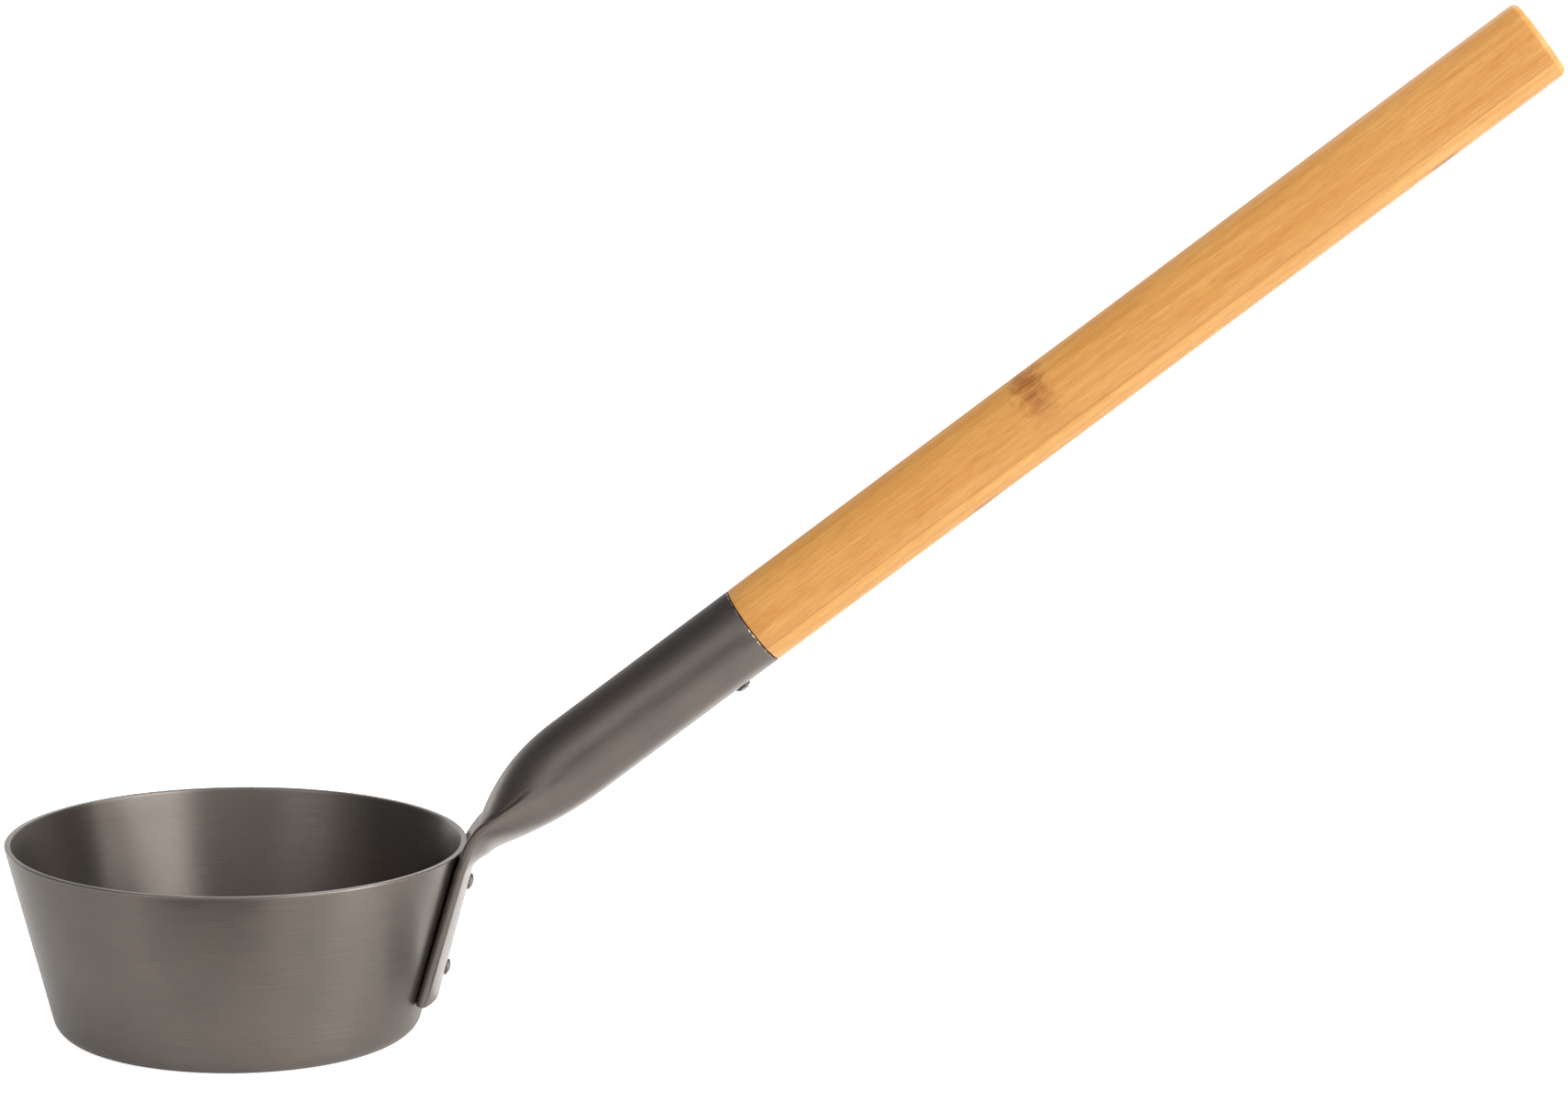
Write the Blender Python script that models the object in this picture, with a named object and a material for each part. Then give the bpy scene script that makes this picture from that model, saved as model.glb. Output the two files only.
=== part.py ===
# Ladle: a spun aluminium bowl, a tube socket pressed flat and riveted to its wall,
# and a laminated bamboo handle plugged into the tube. Metres, +Z up.
# The origin is the middle of the bowl's underside and the handle rises towards +X.

import bisect
import math

import bmesh
import bpy
from mathutils import Euler, Matrix, Vector

# Bowl
RIM_DIAMETER = 0.136        # of the wall's outer line at the rim, before the rim is rounded
BASE_DIAMETER = 0.1062      # where the wall's outer line would meet the base plane
BOWL_HEIGHT = 0.057
BOWL_WALL = 0.0018
BASE_CORNER = 0.0065        # outside radius between wall and base
RIM_ROUND = 0.0006
BOWL_SEGMENTS = 96
INNER_CORNER_STEPS = 5
OUTER_CORNER_STEPS = 6
RIM_STEPS = 2

# Tube socket
TUBE_DIAMETER = 0.025
TUBE_WALL = 0.0015
TUBE_LENGTH = 0.1022        # from the bend to the open mouth
HANDLE_RISE = math.radians(37.9)
PINCH_LENGTH = 0.038        # the tube is round beyond this distance from the bend
BEND_ABOVE_RIM = 0.0041     # along the wall, to where tube axis and tab meet
BEND_LENGTH = 0.009         # along the tab, from there to where the tab is flat
BEND_TOP = 0.0004           # height of the dished upper wall above the tube axis
BEND_BELLY = 0.0066         # depth of the lower wall below the tube axis
BEND_EDGE = 0.0008          # height of the folded edges above the tube axis
BEND_ROUND = 0.0045         # the corner is eased over this distance along tube and tab
TAB_SLIT = 0.0002           # left between the two pressed walls
TAB_END_HEIGHT = 0.0108     # above the base plane
TAB_BOW_TOP = 0.0018        # how far the tab's edges curl round the bowl
TAB_BOW_END = 0.0026
ROUND_POWER = 0.5           # a section's arch with this power is half an ellipse
PRESSED_POWER = 1.0         # and with this one it runs out flat to the fold
TOP_FADE = 2.3              # how fast the dish in the upper wall dies away up the tube
BELLY_FADE = 2.0
CREASE_FADE = 2.0
CREASE_DEPTH = 2.6          # added to the upper power halfway, where the dish has its crease
SOCKET_SEGMENTS = 60
TAB_STEPS = 5
BEND_STEPS = 8
PINCH_STEPS = 12
ARCH_STEPS = 40
ARCH_END = 0.02             # angle at which an arch stops short of the fold, which has no slope there
FOLD_STEPS = 12
WIDTH_TRIES = 40

# Handle
GRIP_LENGTH = 0.284
TENON_LENGTH = 0.045
TENON_CHAMFER = 0.0008
GRIP_END_ROUND = 0.002
PLY_COUNT = 4
PLY_TILT = math.radians(30)  # of the plies' normal, upwards from square to the bend
HANDLE_SEGMENTS = 48
GRIP_END_STEPS = 5

# Blind rivets
RIVET_DIAMETER = 0.003
RIVET_HEAD_DIAMETER = 0.0050
RIVET_HEAD_HEIGHT = 0.0011
RIVET_HEAD_EDGE = 0.0003
RIVET_BULB_DIAMETER = 0.0044
RIVET_BULB_LENGTH = 0.0034
RIVET_SWELL_DIAMETER = 0.0036  # of the body where it spreads in the wood
RIVET_WOOD_DEPTH = 0.0065
BULB_NECK = 0.2             # share of the blind end's length where it is fully spread
BULB_SHOULDER = 0.6         # and where it starts to close again
BULB_TAIL = 0.6             # how much of the spread is left at its end
STEM_DIAMETER = 0.0014
STEM_HEAD_DIAMETER = 0.0024
STEM_HEAD_LENGTH = 0.0014
STEM_HEAD_SHOULDER = 0.6    # share of that length before the head tapers
STEM_HEAD_TIP = 0.55        # of its radius at the end of the taper
STEM_RECESS = 0.0005
RIVET_BELOW_RIM = 0.0112    # upper bowl rivet, along the wall
RIVET_FROM_TAB_END = 0.0091  # lower bowl rivet
RIVET_FROM_MOUTH = 0.0132   # handle rivet
RIVET_SEGMENTS = 20
DOME_STEPS = 4

# Fit between touching pieces
GAP = 0.0003

# Sizes that follow from those above
rim_radius = RIM_DIAMETER / 2
base_radius = BASE_DIAMETER / 2
tube_radius = TUBE_DIAMETER / 2
wall_tilt = math.atan2(rim_radius - base_radius, BOWL_HEIGHT)
bend_angle = math.pi / 2 - HANDLE_RISE - wall_tilt
fold_radius = TUBE_WALL + TAB_SLIT / 2
tab_thickness = 2 * fold_radius
hole_radius = RIVET_DIAMETER / 2 + GAP

# Directions in the plane that the handle lies in
axis_up = Vector((math.cos(HANDLE_RISE), 0, math.sin(HANDLE_RISE)))
axis_under = Vector((math.sin(HANDLE_RISE), 0, -math.cos(HANDLE_RISE)))
wall_up = Vector((math.sin(wall_tilt), 0, math.cos(wall_tilt)))
wall_out = Vector((math.cos(wall_tilt), 0, -math.sin(wall_tilt)))

rim_point = Vector((rim_radius, 0, BOWL_HEIGHT))
tab_middle = rim_point + wall_out * (GAP + tab_thickness / 2)
bend_point = tab_middle + wall_up * BEND_ABOVE_RIM
mouth_point = bend_point + axis_up * TUBE_LENGTH
tab_length = (bend_point.z - TAB_END_HEIGHT) / math.cos(wall_tilt)


def clear_scene():
    for old in list(bpy.data.objects):
        bpy.data.objects.remove(old, do_unlink=True)


def make_material(name, colour, metallic, roughness):
    material = bpy.data.materials.new(name)
    material.use_nodes = True
    shader = material.node_tree.nodes["Principled BSDF"]
    shader.inputs["Base Color"].default_value = (*colour, 1)
    shader.inputs["Metallic"].default_value = metallic
    shader.inputs["Roughness"].default_value = roughness
    return material


def add_object(name, bm, material=None, parent=None, smooth_angle=35):
    bmesh.ops.recalc_face_normals(bm, faces=bm.faces)
    mesh = bpy.data.meshes.new(name)
    bm.to_mesh(mesh)
    bm.free()
    mesh.shade_smooth()
    mesh.set_sharp_from_angle(angle=math.radians(smooth_angle))
    thing = bpy.data.objects.new(name, mesh)
    bpy.context.scene.collection.objects.link(thing)
    thing.parent = parent
    if material:
        mesh.materials.append(material)
    return thing


def as_cutter(thing):
    thing.hide_render = True
    thing.display_type = "WIRE"
    return thing


def add_boolean(thing, cutter, operation):
    modifier = thing.modifiers.new(cutter.name, "BOOLEAN")
    modifier.operation = operation
    modifier.solver = "EXACT"
    modifier.object = cutter


def turned(profile, segments, closed=False):
    bm = bmesh.new()
    points = [bm.verts.new((radius, 0, height)) for radius, height in profile]
    following = points[1:] + points[:1] if closed else points[1:]
    edges = [bm.edges.new(pair) for pair in zip(points, following)]
    bmesh.ops.spin(
        bm, geom=points + edges, cent=(0, 0, 0), axis=(0, 0, 1),
        angle=2 * math.pi, steps=segments, use_merge=True,
    )
    bmesh.ops.remove_doubles(bm, verts=bm.verts, dist=1e-7)
    return bm


def arc(centre, radius, start, end, steps):
    angles = [start + (end - start) * step / steps for step in range(steps + 1)]
    across, height = centre
    return [(across + radius * math.cos(angle), height + radius * math.sin(angle)) for angle in angles]


def ease(share):
    share = min(max(share, 0), 1)
    return share * share * (3 - 2 * share)


def mix(first, second, share):
    return first + (second - first) * share


def bowl_profile():
    # The wall leans out by wall_tilt, so its outer normal points that far below level.
    lean = math.tan(wall_tilt)
    wall_normal = -wall_tilt
    corner_middle = rim_radius - (BOWL_HEIGHT - BASE_CORNER) * lean - BASE_CORNER / math.cos(wall_tilt)
    inner_corner = BASE_CORNER - BOWL_WALL
    rim_height = BOWL_HEIGHT - RIM_ROUND
    outer_rim = rim_radius - RIM_ROUND - RIM_ROUND * lean
    inner_rim = rim_radius - BOWL_WALL / math.cos(wall_tilt) + RIM_ROUND - RIM_ROUND * lean
    floor = -math.pi / 2
    inside = arc((corner_middle, BASE_CORNER), inner_corner, floor, wall_normal, INNER_CORNER_STEPS)
    lip_in = arc((inner_rim, rim_height), RIM_ROUND, math.pi + wall_normal, math.pi / 2, RIM_STEPS)
    lip_out = arc((outer_rim, rim_height), RIM_ROUND, math.pi / 2, wall_normal, RIM_STEPS)
    outside = arc((corner_middle, BASE_CORNER), BASE_CORNER, wall_normal, floor, OUTER_CORNER_STEPS)
    return [(0, BOWL_WALL)] + inside + lip_in + lip_out + outside + [(0, 0)]


def rivet_hole(name, seat, direction, depth):
    # A straight drill from above the seat to a depth under it.
    bm = bmesh.new()
    reach = depth + RIVET_HEAD_HEIGHT
    bmesh.ops.create_cone(
        bm, cap_ends=True, segments=RIVET_SEGMENTS, radius1=hole_radius, radius2=hole_radius, depth=reach,
    )
    bmesh.ops.translate(bm, verts=bm.verts, vec=(0, 0, RIVET_HEAD_HEIGHT - reach / 2))
    drill = as_cutter(add_object(name, bm))
    place(drill, seat, direction)
    return drill


def place(thing, seat, direction):
    thing.location = seat
    thing.rotation_euler = direction.to_track_quat("Z", "Y").to_euler()


def make_bowl(material, drills):
    bowl = add_object("bowl", turned(bowl_profile(), BOWL_SEGMENTS), material)
    for drill in drills:
        add_boolean(bowl, drill, "DIFFERENCE")


def half_outline(width, top, bottom, edge, top_power, bottom_power, offset):
    # Half of a pressed tube section, from the middle of its top round one fold to the
    # middle of its bottom: two arched lines that meet at the fold, moved out by offset.
    turns = [math.pi / 2 * (1 - step / ARCH_STEPS) for step in range(ARCH_STEPS + 1)]
    turns[-1] = ARCH_END

    def arch(height, power):
        rise = height - edge
        return [(width * math.cos(turn), edge + rise * math.sin(turn) ** (2 * power)) for turn in turns]

    def normals(line):
        found = []
        for index in range(len(line)):
            before = line[max(index - 1, 0)]
            after = line[min(index + 1, len(line) - 1)]
            found.append(math.atan2(after[0] - before[0], -(after[1] - before[1])))
        found[0] = math.pi / 2
        return found

    upper = arch(top, top_power)
    lower = [(across, 2 * edge - height) for across, height in arch(2 * edge - bottom, bottom_power)]
    upper_angles = normals(upper)
    lower_angles = [-angle for angle in normals([(across, -height) for across, height in lower])]
    fold = [mix(upper_angles[-1], lower_angles[-1], step / FOLD_STEPS) for step in range(1, FOLD_STEPS)]
    tip = (width, edge)
    path = list(zip(upper, upper_angles)) + [(tip, angle) for angle in fold]
    path += list(zip(reversed(lower), reversed(lower_angles)))
    return [(x + offset * math.cos(angle), h + offset * math.sin(angle)) for (x, h), angle in path]


def line_length(points):
    return sum(math.dist(*pair) for pair in zip(points, points[1:]))


def resample(points, count):
    marks = [0]
    for pair in zip(points, points[1:]):
        marks.append(marks[-1] + math.dist(*pair))
    picked = []
    for step in range(count + 1):
        target = marks[-1] * step / count
        index = min(max(bisect.bisect_right(marks, target) - 1, 0), len(points) - 2)
        span = marks[index + 1] - marks[index]
        share = min((target - marks[index]) / span, 1) if span else 0
        picked.append([mix(a, b, share) for a, b in zip(points[index], points[index + 1])])
    return picked


def pressed_section(top, bottom, edge, top_power, bottom_power, offset):
    # Pressing does not stretch the tube, so the middle of its wall keeps its length round
    # and the width follows from the heights.
    middle = TAB_SLIT / 2 + TUBE_WALL / 2
    wanted = math.pi * (tube_radius - TUBE_WALL / 2)
    narrow, wide = 0, wanted
    for _ in range(WIDTH_TRIES):
        width = (narrow + wide) / 2
        if line_length(half_outline(width, top, bottom, edge, top_power, bottom_power, middle)) < wanted:
            narrow = width
        else:
            wide = width
    skin = half_outline(width, top, bottom, edge, top_power, bottom_power, offset)
    half = resample(skin, SOCKET_SEGMENTS // 2)
    half[0][0] = half[-1][0] = 0
    return half + [[-across, height] for across, height in reversed(half[1:-1])]


def ease_corner(point):
    # Draws the tube's line in towards the inside of the bend near its corner.
    inward = (axis_up - wall_up).normalized()
    left = max(1 - (point - bend_point).length / BEND_ROUND, 0)
    return point + inward * (BEND_ROUND * math.sin(bend_angle / 2) / 2 * left ** 2)


def socket_stations():
    # Each station is a point, the direction of its section's height, and the heights and
    # powers of its outline. Heights are of the folded edge's line, before the fold's radius.
    round_height = tube_radius - fold_radius
    tab_down = -wall_up
    stations = []

    for step in range(TAB_STEPS):
        share = step / TAB_STEPS
        along = mix(tab_length, BEND_LENGTH, share)
        bow = mix(TAB_BOW_END, TAB_BOW_TOP, share)
        outline = (0, 0, bow, PRESSED_POWER, PRESSED_POWER)
        stations.append((bend_point + tab_down * along, -wall_out, outline))

    # Round the bend the sections turn about a point under the tube.
    pivot_depth = BEND_LENGTH / math.sin(bend_angle)
    pivot = bend_point + axis_under * pivot_depth
    for step in range(BEND_STEPS):
        share = 1 - step / BEND_STEPS
        turn = bend_angle * share
        height = -axis_under * math.cos(turn) - axis_up * math.sin(turn)
        reach = pivot_depth * math.cos(bend_angle) / math.cos(bend_angle - turn)
        top = mix(BEND_TOP - fold_radius, 0, ease(share))
        bottom = mix(fold_radius - BEND_BELLY, 0, (share + ease(share)) / 2)
        edge = mix(BEND_EDGE, TAB_BOW_TOP, share)
        outline = (top, bottom, edge, PRESSED_POWER, PRESSED_POWER)
        stations.append((ease_corner(pivot + height * reach), height, outline))

    for step in range(PINCH_STEPS + 1):
        along = PINCH_LENGTH * step / PINCH_STEPS
        left = 1 - along / PINCH_LENGTH
        top = mix(round_height, BEND_TOP - fold_radius, left ** TOP_FADE)
        bottom = mix(-round_height, fold_radius - BEND_BELLY, left ** BELLY_FADE)
        bottom_power = mix(ROUND_POWER, PRESSED_POWER, left ** CREASE_FADE)
        top_power = bottom_power + CREASE_DEPTH * left ** CREASE_FADE * (1 - left)
        outline = (top, bottom, BEND_EDGE * left, top_power, bottom_power)
        stations.append((ease_corner(bend_point + axis_up * along), -axis_under, outline))

    outline = (round_height, -round_height, 0, ROUND_POWER, ROUND_POWER)
    stations.append((mouth_point, -axis_under, outline))
    return stations


def make_socket(material, drills):
    bm = bmesh.new()
    skins = []
    for offset in (fold_radius, TAB_SLIT / 2):
        rings = []
        for centre, height, outline in socket_stations():
            section = pressed_section(*outline, offset)
            rings.append([bm.verts.new(centre + Vector((0, x, 0)) + height * h) for x, h in section])
        skins.append(rings)
        for first, second in zip(rings, rings[1:]):
            join_rings(bm, first, second)
    for end in (0, -1):
        join_rings(bm, skins[0][end], skins[1][end])
    socket = add_object("handle_socket", bm, material)
    for drill in drills:
        add_boolean(socket, drill, "DIFFERENCE")


def join_rings(bm, first, second):
    count = len(first)
    for index in range(count):
        after = (index + 1) % count
        bm.faces.new((first[index], first[after], second[after], second[index]))


def grip_profile():
    tenon_radius = tube_radius - TUBE_WALL - GAP
    corner = (tube_radius - GRIP_END_ROUND, GRIP_LENGTH - GRIP_END_ROUND)
    end = arc(corner, GRIP_END_ROUND, 0, math.pi / 2, GRIP_END_STEPS)
    tenon = [
        (tube_radius, GAP),
        (tenon_radius, GAP),
        (tenon_radius, TENON_CHAMFER - TENON_LENGTH),
        (tenon_radius - TENON_CHAMFER, -TENON_LENGTH),
        (0, -TENON_LENGTH),
    ]
    return [(0, GRIP_LENGTH)] + end[::-1] + tenon


def make_plies(material, drill):
    # One turned blank, sliced into plies by slabs that share its axis.
    carrier = bpy.data.objects.new("handle_axis", None)
    bpy.context.scene.collection.objects.link(carrier)
    carrier.location = mouth_point
    carrier.rotation_euler = Euler((0, math.pi / 2 - HANDLE_RISE, 0))
    ply_thickness = TUBE_DIAMETER / PLY_COUNT
    facing = Matrix.Rotation(-math.pi / 2 - PLY_TILT, 4, "Z")
    for number in range(PLY_COUNT):
        blank = turned(grip_profile(), HANDLE_SEGMENTS)
        ply = add_object(f"handle_ply_{number + 1}", blank, material, carrier)
        low = -tube_radius + number * ply_thickness + (GAP / 2 if number else -GAP)
        high = -tube_radius + (number + 1) * ply_thickness + (GAP if number == PLY_COUNT - 1 else -GAP / 2)
        bm = bmesh.new()
        bmesh.ops.create_cube(bm, size=1)
        length = GRIP_LENGTH + TENON_LENGTH + TUBE_DIAMETER
        bmesh.ops.scale(bm, verts=bm.verts, vec=(high - low, 2 * TUBE_DIAMETER, length))
        middle = Vector(((low + high) / 2, 0, (GRIP_LENGTH - TENON_LENGTH) / 2))
        bmesh.ops.translate(bm, verts=bm.verts, vec=middle)
        bmesh.ops.transform(bm, verts=bm.verts, matrix=facing)
        slab = as_cutter(add_object(f"slab_{number + 1}", bm, parent=carrier))
        add_boolean(ply, slab, "INTERSECT")
        add_boolean(ply, drill, "DIFFERENCE")


def wood_drill():
    # The pocket that the spread rivet fills in the tenon.
    bm = bmesh.new()
    radius = RIVET_SWELL_DIAMETER / 2 + GAP
    depth = TUBE_WALL + RIVET_WOOD_DEPTH + STEM_HEAD_LENGTH + 3 * GAP
    bmesh.ops.create_cone(
        bm, cap_ends=True, segments=RIVET_SEGMENTS, radius1=radius, radius2=radius, depth=depth,
    )
    bmesh.ops.translate(bm, verts=bm.verts, vec=(0, 0, -depth / 2))
    drill = as_cutter(add_object("drill_wood", bm))
    place(drill, handle_seat(), axis_under)
    return drill


def handle_seat():
    return mouth_point - axis_up * RIVET_FROM_MOUTH + axis_under * tube_radius


def make_rivet(name, stem_name, seat, grip, bulb, material, stem_material):
    # Local +Z leaves the head; the seat is the face that the head rests on.
    direction, location = seat
    bore = STEM_DIAMETER / 2 + GAP
    shank = RIVET_DIAMETER / 2
    head = RIVET_HEAD_DIAMETER / 2
    bulb_radius, bulb_length = bulb
    under = GAP
    edge = under + RIVET_HEAD_EDGE
    crown = under + RIVET_HEAD_HEIGHT
    rise = RIVET_HEAD_HEIGHT - RIVET_HEAD_EDGE
    dome_radius = (head ** 2 + rise ** 2) / (2 * rise)
    start = math.acos(bore / dome_radius)
    stop = math.acos(head / dome_radius)
    dome = arc((0, crown - dome_radius), dome_radius, start, stop, DOME_STEPS)
    blind = -grip - GAP
    tail = blind - bulb_length
    body = dome + [
        (head, under),
        (shank, under),
        (shank, blind),
        (bulb_radius, blind - bulb_length * BULB_NECK),
        (bulb_radius, blind - bulb_length * BULB_SHOULDER),
        (mix(bore, bulb_radius, BULB_TAIL), tail),
        (bore, tail),
    ]
    rivet = add_object(name, turned(body, RIVET_SEGMENTS, closed=True), material)
    stem_radius = STEM_DIAMETER / 2
    stem_head = STEM_HEAD_DIAMETER / 2
    stem_top = crown - STEM_RECESS
    stem_end = tail - GAP
    stem = [
        (0, stem_top),
        (stem_radius, stem_top),
        (stem_radius, stem_end),
        (stem_head, stem_end),
        (stem_head, stem_end - STEM_HEAD_LENGTH * STEM_HEAD_SHOULDER),
        (stem_head * STEM_HEAD_TIP, stem_end - STEM_HEAD_LENGTH),
        (0, stem_end - STEM_HEAD_LENGTH),
    ]
    pin = add_object(stem_name, turned(stem, RIVET_SEGMENTS // 2), stem_material)
    for thing in (rivet, pin):
        place(thing, location, direction)


def main():
    clear_scene()
    dark_aluminium = make_material("dark_aluminium", (0.105, 0.094, 0.085), 1.0, 0.42)
    bamboo = make_material("bamboo", (0.60, 0.31, 0.11), 0.0, 0.48)
    rivet_aluminium = make_material("rivet_aluminium", (0.20, 0.19, 0.18), 1.0, 0.40)
    stem_steel = make_material("stem_steel", (0.30, 0.30, 0.30), 1.0, 0.35)

    tab_face = rim_point + wall_out * (GAP + tab_thickness)
    lower_along = tab_length - BEND_ABOVE_RIM - RIVET_FROM_TAB_END
    bowl_seats = {
        "upper": tab_face - wall_up * RIVET_BELOW_RIM,
        "lower": tab_face - wall_up * lower_along,
    }
    bowl_grip = tab_thickness + GAP + BOWL_WALL
    bowl_bulb = (RIVET_BULB_DIAMETER / 2, RIVET_BULB_LENGTH)
    bowl_drills = []
    for where, seat in bowl_seats.items():
        drill = rivet_hole(f"drill_{where}", seat, wall_out, 2 * bowl_grip)
        bowl_drills.append(drill)
        make_rivet(
            f"bowl_rivet_{where}", f"bowl_rivet_{where}_stem", (wall_out, seat),
            bowl_grip, bowl_bulb, rivet_aluminium, stem_steel,
        )
    wood_bulb = (RIVET_SWELL_DIAMETER / 2, RIVET_WOOD_DEPTH)
    make_rivet(
        "handle_rivet", "handle_rivet_stem", (axis_under, handle_seat()),
        TUBE_WALL, wood_bulb, rivet_aluminium, stem_steel,
    )
    tube_drill = rivet_hole("drill_tube", handle_seat(), axis_under, 2 * TUBE_WALL)

    make_bowl(dark_aluminium, bowl_drills)
    make_socket(dark_aluminium, bowl_drills + [tube_drill])
    make_plies(bamboo, wood_drill())


main()
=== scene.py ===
import math

import bmesh
import bpy
import numpy as np
from mathutils import Matrix, Vector


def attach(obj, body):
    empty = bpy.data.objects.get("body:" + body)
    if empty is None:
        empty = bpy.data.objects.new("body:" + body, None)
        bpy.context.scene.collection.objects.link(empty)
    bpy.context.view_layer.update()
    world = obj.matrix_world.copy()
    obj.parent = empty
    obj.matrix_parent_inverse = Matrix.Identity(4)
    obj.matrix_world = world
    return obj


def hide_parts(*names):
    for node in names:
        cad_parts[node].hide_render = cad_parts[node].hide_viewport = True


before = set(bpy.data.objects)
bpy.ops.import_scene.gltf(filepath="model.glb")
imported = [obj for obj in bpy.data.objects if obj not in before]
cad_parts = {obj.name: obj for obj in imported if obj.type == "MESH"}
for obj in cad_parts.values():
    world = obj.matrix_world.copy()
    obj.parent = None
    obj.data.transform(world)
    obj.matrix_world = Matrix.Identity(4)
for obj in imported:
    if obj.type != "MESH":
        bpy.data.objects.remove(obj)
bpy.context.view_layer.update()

mm = 0.001
touching = 0.001 * mm            # points nearer than this are made one
noiseSpan = (0.3, 0.7)           # most values of a noise lie between these
quarterTurn = math.pi / 2
bpy.context.scene.view_settings.view_transform = "Standard"
print("frame loaded")


def linear(hexCode):
    # sRGB hex to the linear colour that a shader socket takes
    parts = [int(hexCode[i:i + 2], 16) / 255 for i in (1, 3, 5)]
    return [p / 12.92 if p <= 0.04045 else ((p + 0.055) / 1.055) ** 2.4 for p in parts] + [1]


def addNode(tree, kind, inputs=(), stops=(), **settings):
    # inputs are numbers, or sockets of other nodes to link, in order or by name or place;
    # a colour mix has its share at 0, its colours at 6 and 7, and gives the result at 2
    node = tree.nodes.new(kind)
    for name, value in settings.items():
        setattr(node, name, value)
    if not isinstance(inputs, dict):
        inputs = dict(enumerate(inputs))
    for name, value in inputs.items():
        if isinstance(value, bpy.types.NodeSocket):
            tree.links.new(value, node.inputs[name])
        else:
            node.inputs[name].default_value = value
    if stops:
        ramp = node.color_ramp.elements
        while len(ramp) < len(stops):
            ramp.new(1)
        for element, (place, colour) in zip(ramp, stops):
            element.position = place
            element.color = linear(colour) if isinstance(colour, str) else [colour] * 3 + [1]
    return node


def newMaterial(name):
    material = bpy.data.materials.new(name)
    material.use_nodes = True
    material.node_tree.nodes.clear()
    return material, material.node_tree


def meshPiece(name, rows, material, closed=False, capped=False, place=None, sharp=40):
    # rows are rings of points, joined one to the next
    bm = bmesh.new()
    rings = [[bm.verts.new(p) for p in row] for row in rows]
    pairs = list(zip(rings, rings[1:])) + ([(rings[-1], rings[0])] if closed else [])
    for a, b in pairs:
        for i in range(len(a)):
            j = (i + 1) % len(a)
            bm.faces.new((a[i], a[j], b[j], b[i]))
    if capped:
        ends = [bm.faces.new(rings[0]), bm.faces.new(rings[-1])]
        bmesh.ops.poke(bm, faces=ends)
    bmesh.ops.remove_doubles(bm, verts=bm.verts, dist=touching)
    bmesh.ops.dissolve_degenerate(bm, dist=touching / 10, edges=bm.edges)
    bmesh.ops.recalc_face_normals(bm, faces=bm.faces)
    mesh = bpy.data.meshes.new(name)
    bm.to_mesh(mesh)
    bm.free()
    mesh.shade_smooth()
    mesh.set_sharp_from_angle(angle=math.radians(sharp))
    mesh.materials.append(material)
    piece = bpy.data.objects.new(name, mesh)
    bpy.context.scene.collection.objects.link(piece)
    if place:
        piece.matrix_world = place
    return piece


def turnedRows(profile, segments):
    # profile of radius and height, turned about Z
    turns = [2 * math.pi * i / segments for i in range(segments)]
    return [[(r * math.cos(t), r * math.sin(t), h) for t in turns] for r, h in profile]


def roundOff(middle, radius, start, end, steps):
    turns = np.linspace(start, end, steps + 1)
    return [(middle[0] + radius * math.cos(t), middle[1] + radius * math.sin(t)) for t in turns]


def drill(piece, holes, segments=40):
    # real holes: each one is a cutter at a place, taken out and thrown away
    cutters = []
    for place, radius, high, low in holes:
        rows = turnedRows([(0, high), (radius, high), (radius, low), (0, low)], segments)
        cutter = meshPiece("cutter", rows, piece.data.materials[0], place=place)
        cut = piece.modifiers.new("hole", "BOOLEAN")
        cut.solver = "EXACT"
        cut.object = cutter
        cutters.append(cutter)
    bpy.context.view_layer.update()
    done = piece.evaluated_get(bpy.context.evaluated_depsgraph_get())
    mesh = bpy.data.meshes.new_from_object(done)
    piece.modifiers.clear()
    piece.data = mesh
    # slivers that the cut left
    bm = bmesh.new()
    bm.from_mesh(mesh)
    bmesh.ops.remove_doubles(bm, verts=bm.verts, dist=2 * touching)
    bmesh.ops.dissolve_degenerate(bm, dist=2 * touching, edges=bm.edges)
    bm.to_mesh(mesh)
    bm.free()
    for cutter in cutters:
        bpy.data.objects.remove(cutter)


def looking(point, direction):
    # local Z along direction
    return Matrix.Translation(point) @ direction.to_track_quat("Z", "Y").to_matrix().to_4x4()


def keep(piece, slotName, *nodes):
    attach(piece, "root")
    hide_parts(*nodes)


# shared lines of the ladle: all pieces meet on these
ladle = {
    "rimRadius": 68.0 * mm,
    "baseRadius": 53.1 * mm,
    "height": 57.0 * mm,
    "wall": 1.8 * mm,
    "tubeRadius": 12.5 * mm,
    "tubeWall": 1.5 * mm,
    "rise": math.radians(37.9),
    "bendAboveRim": 4.1 * mm,
    "tubeLength": 102.2 * mm,
    "tabSlit": 0.2 * mm,
    "seatGap": 0.3 * mm,
    "upperRivet": 11.2 * mm,     # below the rim, along the wall
    "lowerRivet": 38.16 * mm,
    "handleRivet": 13.2 * mm,    # from the tube's mouth
    "rivetHole": 1.8 * mm,       # radius
    "drillStart": 2.0 * mm,      # outside the seat
    "drillBowl": 12.0 * mm,      # depth through tab and wall
    "drillTube": 4.0 * mm,
}
lean = math.atan2(ladle["rimRadius"] - ladle["baseRadius"], ladle["height"])
foldRadius = ladle["tubeWall"] + ladle["tabSlit"] / 2
axisUp = Vector((math.cos(ladle["rise"]), 0, math.sin(ladle["rise"])))
axisUnder = Vector((math.sin(ladle["rise"]), 0, -math.cos(ladle["rise"])))
wallUp = Vector((math.sin(lean), 0, math.cos(lean)))
wallOut = Vector((math.cos(lean), 0, -math.sin(lean)))
rimPoint = Vector((ladle["rimRadius"], 0, ladle["height"]))
bendPoint = rimPoint + wallOut * (ladle["seatGap"] + foldRadius) + wallUp * ladle["bendAboveRim"]
mouthPoint = bendPoint + axisUp * ladle["tubeLength"]
alongTube = Matrix.Rotation(quarterTurn - ladle["rise"], 4, "Y")
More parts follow.
